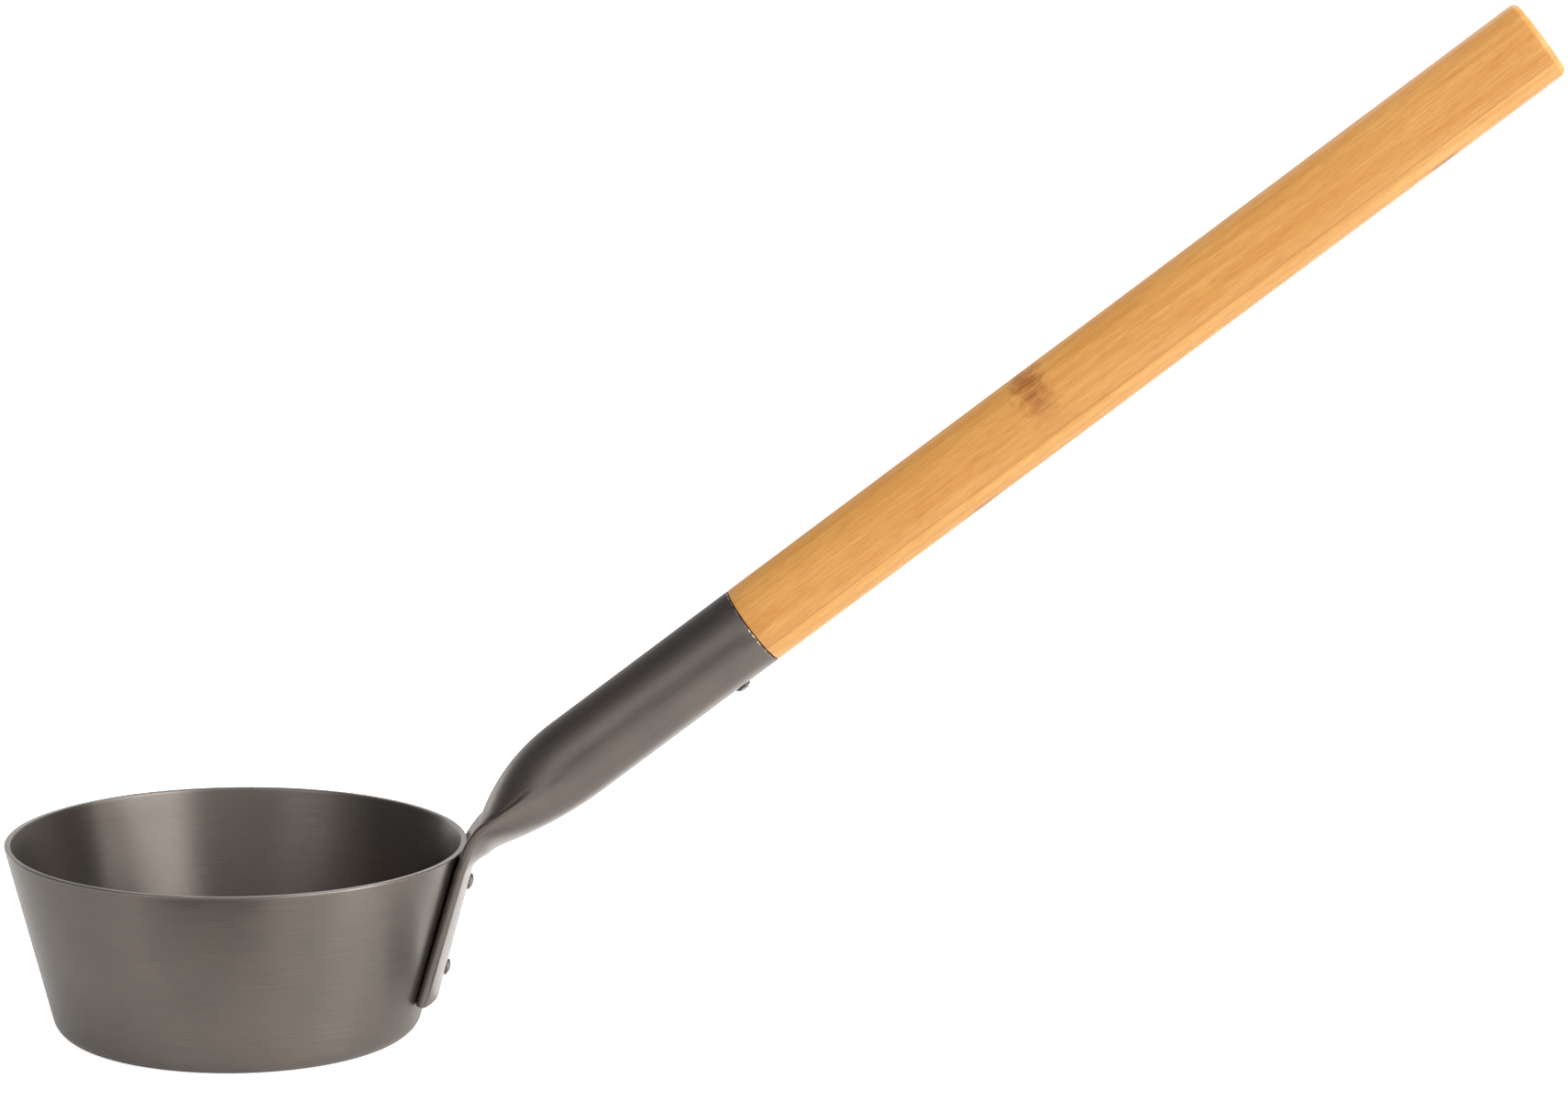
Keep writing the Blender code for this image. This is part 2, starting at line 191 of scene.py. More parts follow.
handlePlace = Matrix.Translation(mouthPoint) @ alongTube

# rivet seats: on the tab's outer face, and under the tube near its mouth
tabFace = rimPoint + wallOut * (ladle["seatGap"] + 2 * foldRadius)
upperSeat = looking(tabFace - wallUp * ladle["upperRivet"], wallOut)
lowerSeat = looking(tabFace - wallUp * ladle["lowerRivet"], wallOut)
underTube = mouthPoint - axisUp * ladle["handleRivet"] + axisUnder * ladle["tubeRadius"]
handleSeat = looking(underTube, axisUnder)
bowlHoles = [(seat, ladle["rivetHole"], ladle["drillStart"], -ladle["drillBowl"])
             for seat in (upperSeat, lowerSeat)]
tubeHole = (handleSeat, ladle["rivetHole"], ladle["drillStart"], -ladle["drillTube"])


# bowl metal
# Aluminium, spun on a former, brushed on the lathe and anodised dark. The brushing runs round the
# wall, so light stretches up and down it in soft bands, and the dye leaves faint clouds.
bowlLook = {
    "colour": "#706963",
    "paleCloud": "#736b64",
    "deepCloud": "#6d6761",
    "cloudSize": 20 * mm,
    "rimWear": "#86807a",
    "rimDepth": 0.9 * mm,
    "brushPitch": 0.45 * mm,     # real marks are near 0.1 mm, drawn coarser so that they show
    "brushLength": 15 * mm,
    "markShade": 0.84,           # colour left in the deepest marks
    "markDepth": 0.012 * mm,
    "markStrength": 0.6,
    "metallic": 0.9,             # the dyed skin scatters the rest
    "roughness": (0.33, 0.43),
    "stretch": 0.75,             # of highlights, and its turn to run across the brushing
    "stretchTurn": 0.25,
}
cloudStops = (0.35, 0.5, 0.65)   # deep, plain and pale dye along the noise


def dyedSkin(tree, place, marks, look):
    # anodised colour: faint clouds, darker along the marks
    cloud = addNode(tree, "ShaderNodeTexNoise", {
        "Vector": place, "Scale": 1 / look["cloudSize"], "Detail": 2})
    shades = (look["deepCloud"], look["colour"], look["paleCloud"])
    tint = addNode(tree, "ShaderNodeValToRGB", [cloud.outputs[0]], list(zip(cloudStops, shades)))
    depths = (look["markShade"], 1.0)
    streak = addNode(tree, "ShaderNodeValToRGB", [marks], list(zip(noiseSpan, depths)))
    skin = addNode(tree, "ShaderNodeMix", {0: 1.0, 6: tint.outputs[0], 7: streak.outputs[0]},
                   data_type="RGBA", blend_type="MULTIPLY")
    return skin.outputs[2]


def spunAluminium(look):
    material, tree = newMaterial("aluminiumSpunBrushedAnodised")
    place = addNode(tree, "ShaderNodeTexCoord").outputs["Object"]
    axes = addNode(tree, "ShaderNodeSeparateXYZ", [place])
    flat = addNode(tree, "ShaderNodeCombineXYZ", [axes.outputs["X"], axes.outputs["Y"]])
    radius = addNode(tree, "ShaderNodeVectorMath", [flat.outputs[0]], operation="LENGTH")
    around = addNode(tree, "ShaderNodeVectorMath", [flat.outputs[0]], operation="NORMALIZE")
    # the way round counts little and the way up counts much, so noise draws out into rings
    turns = ladle["rimRadius"] / look["brushLength"]
    turn = addNode(tree, "ShaderNodeVectorMath", {0: around.outputs[0], "Scale": turns},
                   operation="SCALE")
    climb = addNode(tree, "ShaderNodeMath", [axes.outputs["Z"], radius.outputs["Value"]],
                    operation="ADD")
    pitch = addNode(tree, "ShaderNodeMath", [climb.outputs[0], 1 / look["brushPitch"]],
                    operation="MULTIPLY")
    rise = addNode(tree, "ShaderNodeCombineXYZ", {"Z": pitch.outputs[0]})
    rings = addNode(tree, "ShaderNodeVectorMath", [turn.outputs[0], rise.outputs[0]],
                    operation="ADD")
    brush = addNode(tree, "ShaderNodeTexNoise", {
        "Vector": rings.outputs[0], "Scale": 1, "Detail": 3, "Roughness": 0.6}).outputs[0]
    # the rim was trimmed after spinning and its dye wears off first
    worn = addNode(tree, "ShaderNodeMapRange", [
        axes.outputs["Z"], ladle["height"] - look["rimDepth"], ladle["height"]])
    colour = addNode(tree, "ShaderNodeMix", {
        0: worn.outputs[0], 6: dyedSkin(tree, place, brush, look), 7: linear(look["rimWear"])},
        data_type="RGBA")
    rough = addNode(tree, "ShaderNodeMapRange", [brush, *noiseSpan, *look["roughness"]])
    bump = addNode(tree, "ShaderNodeBump", {
        "Height": brush, "Distance": look["markDepth"], "Strength": look["markStrength"]})
    tangent = addNode(tree, "ShaderNodeTangent", direction_type="RADIAL", axis="Z")
    shader = addNode(tree, "ShaderNodeBsdfPrincipled", {
        "Base Color": colour.outputs[2], "Metallic": look["metallic"],
        "Roughness": rough.outputs[0], "Anisotropic": look["stretch"],
        "Anisotropic Rotation": look["stretchTurn"], "Tangent": tangent.outputs[0],
        "Normal": bump.outputs[0]})
    addNode(tree, "ShaderNodeOutputMaterial", [shader.outputs[0]])
    return material


# socket metal
# Aluminium tube, drawn, pressed and anodised with the bowl. Softer and more even than the bowl,
# with long faint draw lines, slight clouds, and pale chips where the cut mouth is worn.
socketLook = {
    "colour": "#6e6762",
    "paleCloud": "#716963",
    "deepCloud": "#6c6661",
    "cloudSize": 20 * mm,
    "edgeWear": "#d8cdbd",
    "edgeWidth": 0.5 * mm,
    "edgeChips": 1.6 * mm,
    "chipStops": (0.52, 0.6),    # dyed and bare along the noise
    "linePitch": 0.7 * mm,       # draw lines, coarser than real so that they show
    "lineLength": 60 * mm,
    "markShade": 0.9,
    "markDepth": 0.006 * mm,
    "markStrength": 0.5,
    "metallic": 0.9,
    "roughness": (0.37, 0.45),
}


def drawnAluminium(look):
    material, tree = newMaterial("aluminiumDrawnAnodised")
    place = addNode(tree, "ShaderNodeTexCoord").outputs["Object"]
    turned = addNode(tree, "ShaderNodeVectorRotate", {0: place, "Angle": ladle["rise"]},
                     rotation_type="Y_AXIS")
    perLine = (1 / look["lineLength"], 1 / look["linePitch"], 1 / look["linePitch"])
    along = addNode(tree, "ShaderNodeVectorMath", [turned.outputs[0], perLine],
                    operation="MULTIPLY")
    lines = addNode(tree, "ShaderNodeTexNoise", {
        "Vector": along.outputs[0], "Scale": 1, "Detail": 2}).outputs[0]
    # the cut mouth is worn bare in places
    reach = addNode(tree, "ShaderNodeVectorMath", [place, axisUp], operation="DOT_PRODUCT")
    mouth = mouthPoint.dot(axisUp)
    nearMouth = addNode(tree, "ShaderNodeMapRange", [
        reach.outputs["Value"], mouth - look["edgeWidth"], mouth])
    chips = addNode(tree, "ShaderNodeTexNoise", {
        "Vector": place, "Scale": 1 / look["edgeChips"], "Detail": 2})
    bare = addNode(tree, "ShaderNodeMapRange", [chips.outputs[0], *look["chipStops"]])
    worn = addNode(tree, "ShaderNodeMath", [nearMouth.outputs[0], bare.outputs[0]],
                   operation="MULTIPLY")
    colour = addNode(tree, "ShaderNodeMix", {
        0: worn.outputs[0], 6: dyedSkin(tree, place, lines, look), 7: linear(look["edgeWear"])},
        data_type="RGBA")
    rough = addNode(tree, "ShaderNodeMapRange", [lines, *noiseSpan, *look["roughness"]])
    bump = addNode(tree, "ShaderNodeBump", {
        "Height": lines, "Distance": look["markDepth"], "Strength": look["markStrength"]})
    shader = addNode(tree, "ShaderNodeBsdfPrincipled", {
        "Base Color": colour.outputs[2], "Metallic": look["metallic"],
        "Roughness": rough.outputs[0], "Normal": bump.outputs[0]})
    addNode(tree, "ShaderNodeOutputMaterial", [shader.outputs[0]])
    return material


# rivet metals
# Aluminium heads, upset as the rivet was pulled tight and dulled with handling, and the stems left
# in them, of drawn steel with zinc. Both are plain bright metal with small dull spots.
rivetLook = {
    "headColour": "#857f79",
    "stemColour": "#8f8f8d",
    "dullSpot": "#625d59",
    "spotSize": 0.9 * mm,
    "spotStops": (0.35, 0.6),    # dull and clear along the noise
    "roughness": (0.46, 0.32),   # likewise
}


def fastenerMetal(name, colour, look):
    material, tree = newMaterial(name)
    place = addNode(tree, "ShaderNodeTexCoord").outputs["Object"]
    spots = addNode(tree, "ShaderNodeTexNoise", {
        "Vector": place, "Scale": 1 / look["spotSize"], "Detail": 3}).outputs[0]
    shades = (look["dullSpot"], colour)
    tint = addNode(tree, "ShaderNodeValToRGB", [spots], list(zip(look["spotStops"], shades)))
    rough = addNode(tree, "ShaderNodeMapRange", [spots, *noiseSpan, *look["roughness"]])
    shader = addNode(tree, "ShaderNodeBsdfPrincipled", {
        "Base Color": tint.outputs[0], "Metallic": 1.0, "Roughness": rough.outputs[0]})
    addNode(tree, "ShaderNodeOutputMaterial", [shader.outputs[0]])
    return material


# bamboo
# Steamed bamboo strips, glued up, turned round and lacquered. Honey colour with fine straight
# fibres, a browner band with short flecks where a strip has a node, and a low satin gloss.
bambooLook = {
    "light": "#eab66b",
    "honey": "#dda355",
    "streakStops": (0.32, 0.68),
    "streakSize": (2.2 * mm, 45 * mm),   # width and length
    "fibre": "#c58440",
    "fibreStops": (0.42, 0.7),
    "fibreShare": 0.5,
    "fibreSize": (0.3 * mm, 6 * mm),
    "fibreDepth": 0.015 * mm,
    "fibreStrength": 0.5,
    "node": "#9c5a2a",
    "nodeShare": 0.9,
    "nodeWidth": 7.5 * mm,
    "nodeWander": 2.6 * mm,
    "nodeFrom": 0.35,            # a node fades in from this share of the radius
    "nodeAway": 0.2,             # and this much of it is left elsewhere
    "fleckStops": (0.35, 0.65),
    "fleckShares": (1.0, 0.45),
    "fleckSize": (0.6 * mm, 7 * mm),
    "glue": "#b87a3c",
    "glueShare": 0.25,
    "glueWidth": 0.9 * mm,
    "roughness": (0.40, 0.52),
    "ior": 1.5,
}


def laminatedBamboo(name, look, ply):
    material, tree = newMaterial(name)
    place = addNode(tree, "ShaderNodeTexCoord").outputs["Object"]
    own = addNode(tree, "ShaderNodeVectorMath", [place, ply["shift"]], operation="ADD").outputs[0]
    noises = []
    for kind in ("fibre", "streak", "fleck"):
        width, length = look[kind + "Size"]
        perGrain = (1 / width, 1 / width, 1 / length)
        drawn = addNode(tree, "ShaderNodeVectorMath", [own, perGrain], operation="MULTIPLY")
        noises.append(addNode(tree, "ShaderNodeTexNoise", {
            "Vector": drawn.outputs[0], "Scale": 1, "Detail": 2}).outputs[0])
    fibre, streak, fleck = noises
    shades = (look["honey"], look["light"])
    base = addNode(tree, "ShaderNodeValToRGB", [streak], list(zip(look["streakStops"], shades)))
    fibres = addNode(tree, "ShaderNodeMapRange", [
        fibre, *look["fibreStops"], 0.0, look["fibreShare"]])
    grain = addNode(tree, "ShaderNodeMix", {
        0: fibres.outputs[0], 6: base.outputs[0], 7: linear(look["fibre"])}, data_type="RGBA")
    # node bands: how far a point is from the nearest one, with a ragged edge
    ragged = addNode(tree, "ShaderNodeTexNoise", {
        "Vector": own, "Scale": 1 / look["nodeWander"], "Detail": 3})
    wander = addNode(tree, "ShaderNodeMapRange", [
        ragged.outputs[0], *noiseSpan, -look["nodeWander"], look["nodeWander"]])
    height = addNode(tree, "ShaderNodeSeparateXYZ", [place]).outputs["Z"]
    nearest = None
    for at in ply["nodes"]:
        gap = addNode(tree, "ShaderNodeMath", [height, at], operation="SUBTRACT")
        gap = addNode(tree, "ShaderNodeMath", [gap.outputs[0], wander.outputs[0]], operation="ADD")
        gap = addNode(tree, "ShaderNodeMath", [gap.outputs[0]], operation="ABSOLUTE").outputs[0]
        if nearest:
            gap = addNode(tree, "ShaderNodeMath", [gap, nearest], operation="MINIMUM").outputs[0]
        nearest = gap
    band = addNode(tree, "ShaderNodeMapRange", [
        nearest, 0, look["nodeWidth"], look["nodeShare"], 0], interpolation_type="SMOOTHSTEP")
    flecks = addNode(tree, "ShaderNodeMapRange", [
        fleck, *look["fleckStops"], *look["fleckShares"]])
    # a node is darkest on one side of the handle and dies away round it
    side = (math.cos(ply["nodeSide"]), math.sin(ply["nodeSide"]), 0)
    facing = addNode(tree, "ShaderNodeVectorMath", [place, side], operation="DOT_PRODUCT")
    patch = addNode(tree, "ShaderNodeMapRange", [
        facing.outputs["Value"], look["nodeFrom"] * ladle["tubeRadius"], ladle["tubeRadius"],
        look["nodeAway"], 1.0], interpolation_type="SMOOTHSTEP")
    flecked = addNode(tree, "ShaderNodeMath", [band.outputs[0], flecks.outputs[0]],
                      operation="MULTIPLY")
    browned = addNode(tree, "ShaderNodeMath", [flecked.outputs[0], patch.outputs[0]],
                      operation="MULTIPLY")
    noded = addNode(tree, "ShaderNodeMix", {
        0: browned.outputs[0], 6: grain.outputs[2], 7: linear(look["node"])}, data_type="RGBA")
    # glue soaks in and darkens the strip beside each flat
    square = -quarterTurn - handle["tilt"]
    acrossFlats = (math.cos(square), math.sin(square), 0)
    across = addNode(tree, "ShaderNodeVectorMath", [place, acrossFlats], operation="DOT_PRODUCT")
    middle = addNode(tree, "ShaderNodeMath", [across.outputs["Value"]],
                     operation="ABSOLUTE").outputs[0]
    quarter = addNode(tree, "ShaderNodeMath", [middle, ladle["tubeRadius"] / 2],
                      operation="SUBTRACT")
    quarter = addNode(tree, "ShaderNodeMath", [quarter.outputs[0]],
                      operation="ABSOLUTE").outputs[0]
    flat = addNode(tree, "ShaderNodeMath", [middle, quarter], operation="MINIMUM")
    soak = addNode(tree, "ShaderNodeMapRange", [
        flat.outputs[0], 0, look["glueWidth"], look["glueShare"], 0])
    glued = addNode(tree, "ShaderNodeMix", {
        0: soak.outputs[0], 6: noded.outputs[2], 7: linear(look["glue"])}, data_type="RGBA")
    toned = addNode(tree, "ShaderNodeMix", {
        0: 1.0, 6: glued.outputs[2], 7: linear(ply["tone"])},
        data_type="RGBA", blend_type="MULTIPLY")
    rough = addNode(tree, "ShaderNodeMapRange", [fibre, *noiseSpan, *look["roughness"]])
    bump = addNode(tree, "ShaderNodeBump", {
        "Height": fibre, "Distance": look["fibreDepth"], "Strength": look["fibreStrength"]})
    shader = addNode(tree, "ShaderNodeBsdfPrincipled", {
        "Base Color": toned.outputs[2], "Roughness": rough.outputs[0], "IOR": look["ior"],
        "Normal": bump.outputs[0]})
    addNode(tree, "ShaderNodeOutputMaterial", [shader.outputs[0]])
    return material


# bowl
bowl = {
    "corner": 6.5 * mm,
    "rimRound": 0.4 * mm,
    "segments": 192,
    "wallRings": 10,
    "cornerSteps": (12, 14),     # inside and outside
    "rimSteps": 6,
}


def bowlRows():
    wallNormal = -lean
    slope = math.tan(lean)
    floor = -quarterTurn
    corner, lip = bowl["corner"], bowl["rimRound"]
    stepsIn, stepsOut = bowl["cornerSteps"]
    cornerMiddle = ladle["rimRadius"] - (ladle["height"] - corner) * slope - corner / math.cos(lean)
    outerLip = ladle["rimRadius"] - lip - lip * slope
    innerLip = ladle["rimRadius"] - ladle["wall"] / math.cos(lean) + lip - lip * slope
    lipHeight = ladle["height"] - lip
    inside = roundOff((cornerMiddle, corner), corner - ladle["wall"], floor, wallNormal, stepsIn)
    lipIn = roundOff((innerLip, lipHeight), lip, math.pi + wallNormal, quarterTurn,
                     bowl["rimSteps"])
    lipOut = roundOff((outerLip, lipHeight), lip, quarterTurn, wallNormal, bowl["rimSteps"])
    outside = roundOff((cornerMiddle, corner), corner, wallNormal, floor, stepsOut)

    def between(first, last):
        return [tuple(p) for p in np.linspace(first, last, bowl["wallRings"] + 1)[1:-1]]

    floorIn = between((0, ladle["wall"]), inside[0])
    floorOut = between(outside[-1], (0, 0))
    profile = [(0, ladle["wall"])] + floorIn + inside
    profile += between(inside[-1], lipIn[0]) + lipIn + lipOut
    profile += between(lipOut[-1], outside[0]) + outside + floorOut + [(0, 0)]
    return turnedRows(profile, bowl["segments"])


bowlPiece = meshPiece("bowlShell", bowlRows(), spunAluminium(bowlLook))
drill(bowlPiece, bowlHoles)
keep(bowlPiece, "dark_aluminium", "bowl")
print("bowl done")


# socket: one tube pressed flat at the bowl end. Pressing keeps the length round the wall, so each
# section's width follows from its heights.
socket = {
    "pinch": 38.0 * mm,          # round beyond this distance from the bend
    "topRise": 2.3,              # how soon the pinched top and the belly swell up to round
    "bellyRise": 2,
    "dish": 2.6,                 # narrows the ridge that is left along the pinched top
    "bendLength": 9.0 * mm,
    "bendTop": 0.4 * mm,
    "bendBelly": 6.6 * mm,
    "bendEdge": 0.8 * mm,
    "tabEndHeight": 10.8 * mm,
    "tabBow": (1.8 * mm, 2.6 * mm),      # at the bend and at the end
    "bendRound": 4.5 * mm,       # the corner is eased over this length both ways
    "endRound": 0.6 * mm,
    "mouthRound": 0.25 * mm,
    "crease": 0.6 * mm,          # depth of the sharp line that the press left inside each fold
    "creaseFromFold": 2.2 * mm,
    "creaseWidth": 0.8 * mm,
    # it starts, is full, and dies away up the tube
    "creaseRun": (3.0 * mm, 9.0 * mm, 14.0 * mm, 23.0 * mm),
    "skew": 0.085,               # the press sat a little out of square, and a little out of level
    "twist": math.radians(4),
    "archPowers": (0.5, 1),      # round, and pressed
    "archPoints": 61,
    "foldPoints": 14,
    "foldTip": 0.02,             # the arches stop this short of the fold, in radians
    "around": 200,
    "steps": (14, 22, 48, 10),   # tab, bend, pinch, straight tube
    "roundSteps": (5, 3),        # tab's end, tube's mouth
}


def ease(share):
    return share * share * (3 - 2 * share)


def foldedHalf(shape, width, offset):
    # half a section: two arches meet at the fold, and the skin lies offset outside them
    top, bottom, edge, topPower, bottomPower = shape
    turns = np.linspace(quarterTurn, 0, socket["archPoints"])
    turns[-1] = socket["foldTip"]
    across = width * np.cos(turns)
    upper = np.stack([across, edge + (top - edge) * np.sin(turns) ** (2 * topPower)], 1)
    lower = np.stack([across, edge + (bottom - edge) * np.sin(turns) ** (2 * bottomPower)], 1)
    angles = []
    for line, side in ((upper, 1), (lower, -1)):
        ends = np.concatenate([line[:1], line, line[-1:]])
        step = ends[2:] - ends[:-2]
        angle = np.arctan2(step[:, 0], -side * step[:, 1])
        angle[0] = quarterTurn
        angles.append(side * angle)
    count = socket["foldPoints"]
    fold = np.linspace(angles[0][-1], angles[1][-1], count + 2)[1:-1]
    path = np.concatenate([upper, np.tile([width, edge], (count, 1)), lower[::-1]])
    turn = np.concatenate([angles[0], fold, angles[1][::-1]])
    return path + offset * np.stack([np.cos(turn), np.sin(turn)], 1)


def runLength(line):
    return np.concatenate([[0], np.cumsum(np.linalg.norm(np.diff(line, axis=0), axis=1))])


def pressedSection(shape, offset, crease=0, halvings=36):
    # the width is found by halving, until the middle of the wall has its length again
    middle = ladle["tabSlit"] / 2 + ladle["tubeWall"] / 2
    wanted = math.pi * (ladle["tubeRadius"] - ladle["tubeWall"] / 2)
    low, high = 0, wanted
    for _ in range(halvings):
        width = (low + high) / 2
        if runLength(foldedHalf(shape, width, middle))[-1] < wanted:
            low = width
        else:
            high = width
    line = foldedHalf(shape, width, offset)
    run = runLength(line)
    if crease:
        fromFold = run[np.argmax(line[:, 0])] - run - socket["creaseFromFold"]
        line[:, 1] -= crease * np.exp(-(fromFold / socket["creaseWidth"]) ** 2)
    marks = np.linspace(0, run[-1], socket["around"] // 2 + 1)
    half = np.stack([np.interp(marks, run, line[:, i]) for i in (0, 1)], 1)
    half[0, 0] = half[-1, 0] = 0
    return np.concatenate([half, half[-2:0:-1] * (-1, 1)])


def socketStations():
    # each one: point, up direction, shape, share of the press's skew, how far the outer edge is
    # rounded back, and depth of the crease
    tabSteps, bendSteps, pinchSteps, tubeSteps = socket["steps"]
    endSteps, mouthSteps = socket["roundSteps"]
    endRound, mouthRound = socket["endRound"], socket["mouthRound"]
    roundPower, pressedPower = socket["archPowers"]
    roundHeight = ladle["tubeRadius"] - foldRadius
    bendHigh = socket["bendTop"] - foldRadius
    bendLow = foldRadius - socket["bendBelly"]
    bendEdge = socket["bendEdge"]
    bendAngle = quarterTurn - ladle["rise"] - lean
    tabLength = (bendPoint.z - socket["tabEndHeight"]) / math.cos(lean)
    bowTop, bowEnd = socket["tabBow"]
    inward = (axisUp - wallUp).normalized()
    eased = socket["bendRound"]

    def soften(point):
        away = (point - bendPoint).length
        depth = eased * math.sin(bendAngle / 2) / 2
        return point + inward * depth * max(1 - away / eased, 0) ** 2

    def pressed(top, bottom, edge):
        return top, bottom, edge, pressedPower, pressedPower

    stations = []
    for turn in np.linspace(0, quarterTurn, endSteps + 1)[:-1]:
        point = bendPoint - wallUp * (tabLength - endRound * (1 - math.cos(turn)))
        trim = endRound * (1 - math.sin(turn))
        stations.append((point, -wallOut, pressed(0, 0, bowEnd), 0, trim, 0))
    tabRun = socket["bendLength"] - tabLength + endRound
    for share in np.linspace(0, 1, tabSteps + 1)[:-1]:
        point = bendPoint - wallUp * (tabLength - endRound + tabRun * share)
        shape = pressed(0, 0, bowEnd + (bowTop - bowEnd) * share)
        stations.append((point, -wallOut, shape, 0, 0, 0))
    # round the bend the sections turn about a line under the tube
    depth = socket["bendLength"] / math.sin(bendAngle)
    pivot = bendPoint + axisUnder * depth
    for share in np.linspace(1, 0, bendSteps + 1)[:-1]:
        turn = bendAngle * share
        up = -axisUnder * math.cos(turn) - axisUp * math.sin(turn)
        reach = depth * math.cos(bendAngle) / math.cos(bendAngle - turn)
        soft = (share + ease(share)) / 2
        shape = pressed(bendHigh * (1 - ease(share)), bendLow * (1 - soft),
                        bendEdge + (bowTop - bendEdge) * share)
        stations.append((soften(pivot + up * reach), up, shape, 1 - ease(share), 0, 0))
    swell = pressedPower - roundPower
    for share in np.linspace(0, 1, pinchSteps + 1):
        left = 1 - share
        shape = (roundHeight + (bendHigh - roundHeight) * left ** socket["topRise"],
                 -roundHeight + (bendLow + roundHeight) * left ** socket["bellyRise"],
                 bendEdge * left,
                 roundPower + left ** 2 * (swell + socket["dish"] * share),
                 roundPower + swell * left ** 2)
        along = socket["pinch"] * share
        point = soften(bendPoint + axisUp * along)
        crease = socket["crease"] * np.interp(along, socket["creaseRun"], (0, 1, 1, 0))
        stations.append((point, -axisUnder, shape, ease(left), 0, crease))
    fullRound = (roundHeight, -roundHeight, 0, roundPower, roundPower)
    tubeEnd = ladle["tubeLength"] - mouthRound
    for along in np.linspace(socket["pinch"], tubeEnd, tubeSteps + 1)[1:]:
        stations.append((bendPoint + axisUp * along, -axisUnder, fullRound, 0, 0, 0))
    for turn in np.linspace(0, quarterTurn, mouthSteps + 1)[1:]:
        point = bendPoint + axisUp * (tubeEnd + mouthRound * math.sin(turn))
        trim = mouthRound * (1 - math.cos(turn))
        stations.append((point, -axisUnder, fullRound, 0, trim, 0))
    return stations


def socketRows():
    skins = []
    for outer in (True, False):
        rows = []
        for point, up, shape, skew, trim, crease in socketStations():
            offset = foldRadius - trim if outer else ladle["tabSlit"] / 2
            section = pressedSection(shape, offset, crease if outer else 0)
            askew = axisUp * socket["skew"] + up * math.tan(socket["twist"])
            across = Vector((0, 1, 0)) - askew * skew
            rows.append([point + across * x + up * h for x, h in section])
        skins.append(rows)
    return skins[0] + skins[1][::-1]


socketPiece = meshPiece("handleSocket", socketRows(), drawnAluminium(socketLook), closed=True)
drill(socketPiece, bowlHoles + [tubeHole])
keep(socketPiece, "dark_aluminium", "handle_socket")
print("socket done")


# handle: four strips glued flat to flat and turned together, with a stepped tenon in the tube
handle = {
    "length": 284.0 * mm,
    "tenon": 45.0 * mm,
    "tenonRadius": 10.7 * mm,
    "tenonChamfer": 0.8 * mm,
    "shoulderRound": 0.35 * mm,
    "shoulderGap": 0.3 * mm,
    "endRound": 2.0 * mm,
    "glueLine": 0.05 * mm,       # half the hairline between two strips
    "tilt": math.radians(30),    # of the strips' flats, upwards from facing sideways
    "bore": 2.1 * mm,            # radius of the rivet's hole, its start outside, and its depth
    "boreStart": 1.0 * mm,
    "boreDepth": 10.5 * mm,
    "stationEvery": 5 * mm,
    "roundSteps": (3, 8),        # shoulder, end
    "arcPoints": (61, 19),       # round an outer strip, and each side of an inner one
    "flatPoints": 9,
}
plies = [
    # places of the nodes along the strip, the side they are darkest on, tone, and own piece of
    # the pattern
    {"nodes": [40 * mm, 214 * mm], "nodeSide": math.radians(60),
     "tone": "#f2ece2", "shift": (0.31, 0.12, 0.07)},
    {"nodes": [75 * mm, 241 * mm], "nodeSide": math.radians(-15),
     "tone": "#fffaf0", "shift": (0.05, 0.47, 0.22)},
    {"nodes": [-22 * mm], "nodeSide": math.radians(-60),
     "tone": "#fff9ee", "shift": (0.72, 0.33, 0.51)},
    {"nodes": [107 * mm], "nodeSide": math.radians(-148),
     "tone": "#f6ebe2", "shift": (0.18, 0.81, 0.64)},
]


def handleProfile():
    grip, tenon = ladle["tubeRadius"], handle["tenonRadius"]
    chamfer, shoulder = handle["tenonChamfer"], handle["shoulderRound"]
    low, gap = -handle["tenon"], handle["shoulderGap"]
    shoulderSteps, endSteps = handle["roundSteps"]
    profile = [(tenon - chamfer, low), (tenon, low + chamfer), (tenon, low / 2), (tenon, gap)]
    profile += roundOff((grip - shoulder, gap + shoulder), shoulder, -quarterTurn, 0,
                        shoulderSteps)
    end = handle["length"] - handle["endRound"]
    count = round(end / handle["stationEvery"])
    profile += [(grip, h) for h in np.linspace(gap + shoulder, end, count + 1)[1:-1]]
    profile += roundOff((grip - handle["endRound"], end), handle["endRound"], 0, quarterTurn,
                        endSteps)
    return profile


def plySection(number, radius):
    # u runs across the strips and v along their flats; plies 1 and 2 mirror 4 and 3
    thickness = ladle["tubeRadius"] / 2
    outer = number in (0, 3)
    arcPoints, sidePoints = handle["arcPoints"]
    low = (thickness if outer else 0) + handle["glueLine"]
    wide = math.acos(low / radius)
    if outer:
        turns = np.linspace(-wide, wide, arcPoints)
        points = [(radius * math.cos(t), radius * math.sin(t)) for t in turns]
    else:
        narrow = math.acos((thickness - handle["glueLine"]) / radius)
        turns = np.linspace(narrow, wide, sidePoints)
        side = [(radius * math.cos(t), radius * math.sin(t)) for t in turns]
        # the upper flat lies between the two arcs
        flat = np.linspace(side[0], (side[0][0], -side[0][1]), handle["flatPoints"])[1:-1]
        points = [(u, -v) for u, v in side[::-1]] + [tuple(p) for p in flat[::-1]] + side
    back = np.linspace(points[-1], points[0], handle["flatPoints"])[1:-1]
    points = points + [tuple(p) for p in back]
    flip = -1 if number < 2 else 1
    facing = -quarterTurn - handle["tilt"]
    c, s = math.cos(facing) * flip, math.sin(facing) * flip
    return [(u * c - v * s, u * s + v * c) for u, v in points]


